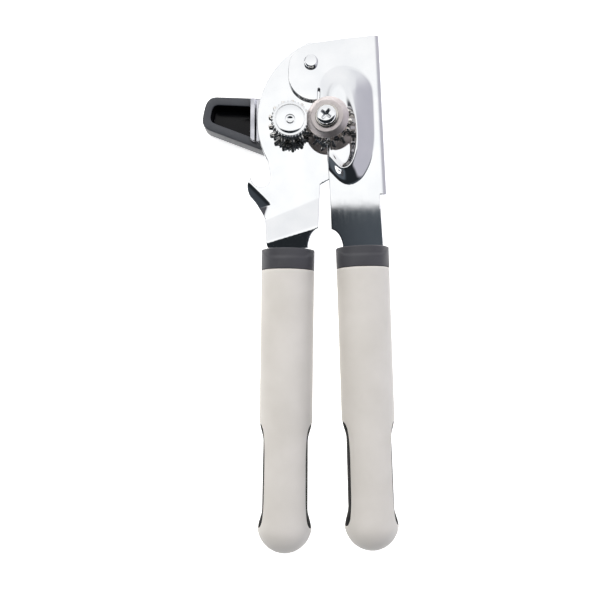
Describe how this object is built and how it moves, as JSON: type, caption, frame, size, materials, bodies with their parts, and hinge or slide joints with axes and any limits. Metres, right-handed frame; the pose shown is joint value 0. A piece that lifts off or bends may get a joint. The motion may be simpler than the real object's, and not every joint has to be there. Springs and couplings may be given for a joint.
{
  "type": "manual can opener",
  "caption": "Two-handled manual can opener with a turning crank, geared feed and cutting wheels, and a bottle opener hook on its side.",
  "frame": {"origin": "crank axis at the outer face of the crank's cap, the lowest point of the head when the opener lies on its back", "axes": "+Z along the crank axis, out of the working face where the feed and cutting wheels are; +Y from the handles to the head; +X from the crank side to the flanged lever"},
  "size_m": [0.0807, 0.2124, 0.0291],
  "materials": {
    "chrome_steel": "polished",
    "gear_steel": "bright, as cut",
    "blade_steel": "satin, ground",
    "grip_light": "matt soft touch, warm light grey",
    "core_dark": "matt, fine texture",
    "knob_black": "satin outside, glossy inside"
  },
  "bodies": {
    "left_arm": {"left_lever": "chrome_steel", "left_handle_core": "core_dark", "left_grip_sleeve": "grip_light", "shaft_bushing": "gear_steel", "pivot_rivet": "chrome_steel"},
    "right_arm": {"right_lever": "chrome_steel", "right_handle_core": "core_dark", "right_grip_sleeve": "grip_light", "cutter_thrust_washer": "gear_steel", "cutter_stud": "gear_steel", "cutter_washer": "chrome_steel", "cutter_screw": "chrome_steel"},
    "crank": {"crank_shaft": "chrome_steel", "drive_gear": "gear_steel", "feed_wheel": "chrome_steel", "feed_wheel_washer": "chrome_steel", "crank_washer": "chrome_steel", "crank_insert_plate": "chrome_steel", "crank_knob": "knob_black", "crank_cap": "knob_black"},
    "cutter": {"cutter_gear": "gear_steel", "cutting_wheel": "blade_steel"}
  },
  "joints": [
    {"name": "lever_pivot", "type": "hinge", "parent": "left_arm", "child": "right_arm", "pos_m": [0.0086, 0.0269, 0.0136], "axis": [0, 0, 1], "range_deg": [0, 40]},
    {"name": "crank_turn", "type": "hinge", "parent": "left_arm", "child": "crank", "pos_m": [0, 0, 0.0136], "axis": [0, 0, 1], "continuous": true},
    {"name": "cutter_turn", "type": "hinge", "parent": "right_arm", "child": "cutter", "pos_m": [0.01651, 0, 0.01819], "axis": [-0.2079, 0, 0.9781], "continuous": true}
  ],
  "couplings": [
    {"joint": "cutter_turn", "follows": "crank_turn", "ratio": -1}
  ]
}
